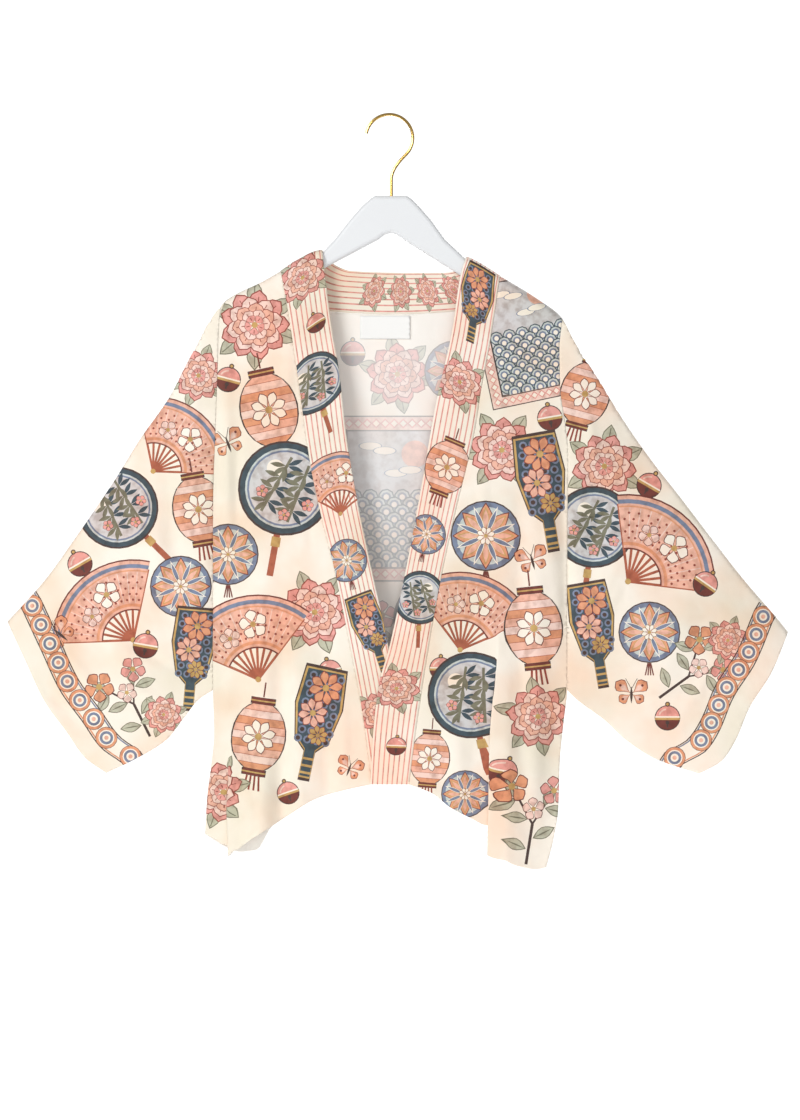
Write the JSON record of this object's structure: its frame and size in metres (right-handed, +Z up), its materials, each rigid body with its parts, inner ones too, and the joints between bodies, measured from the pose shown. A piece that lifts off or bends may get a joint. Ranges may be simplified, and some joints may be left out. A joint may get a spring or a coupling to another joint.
{
  "type": "kimono jacket on a hanger",
  "caption": "Open-fronted kimono jacket with wide sleeves, a long neckband and an arched hem, hanging on a flat wooden hanger with a wire hook.",
  "frame": {"origin": "the point under the top of the hook that bears on what holds it up", "axes": "+Z up, +X to the viewer's right, -Y to the front, where the jacket opens"},
  "size_m": [0.9759, 0.0448, 0.9449],
  "materials": {
    "crepe": "printed polyester crepe de chine, soft low sheen",
    "band_crepe": "striped crepe folded double",
    "tape": "white satin tape, bare",
    "board": "white satin paint",
    "wire": "bright gold-coloured plating"
  },
  "bodies": {
    "root": {"back": "crepe", "front_left": "crepe", "front_right": "crepe", "sleeve_left": "crepe", "sleeve_right": "crepe", "neckband_back": "band_crepe", "neckband_left": "band_crepe", "neckband_right": "band_crepe", "label": "tape", "hanger": "board", "hanger_hook": "wire"}
  },
  "joints": []
}
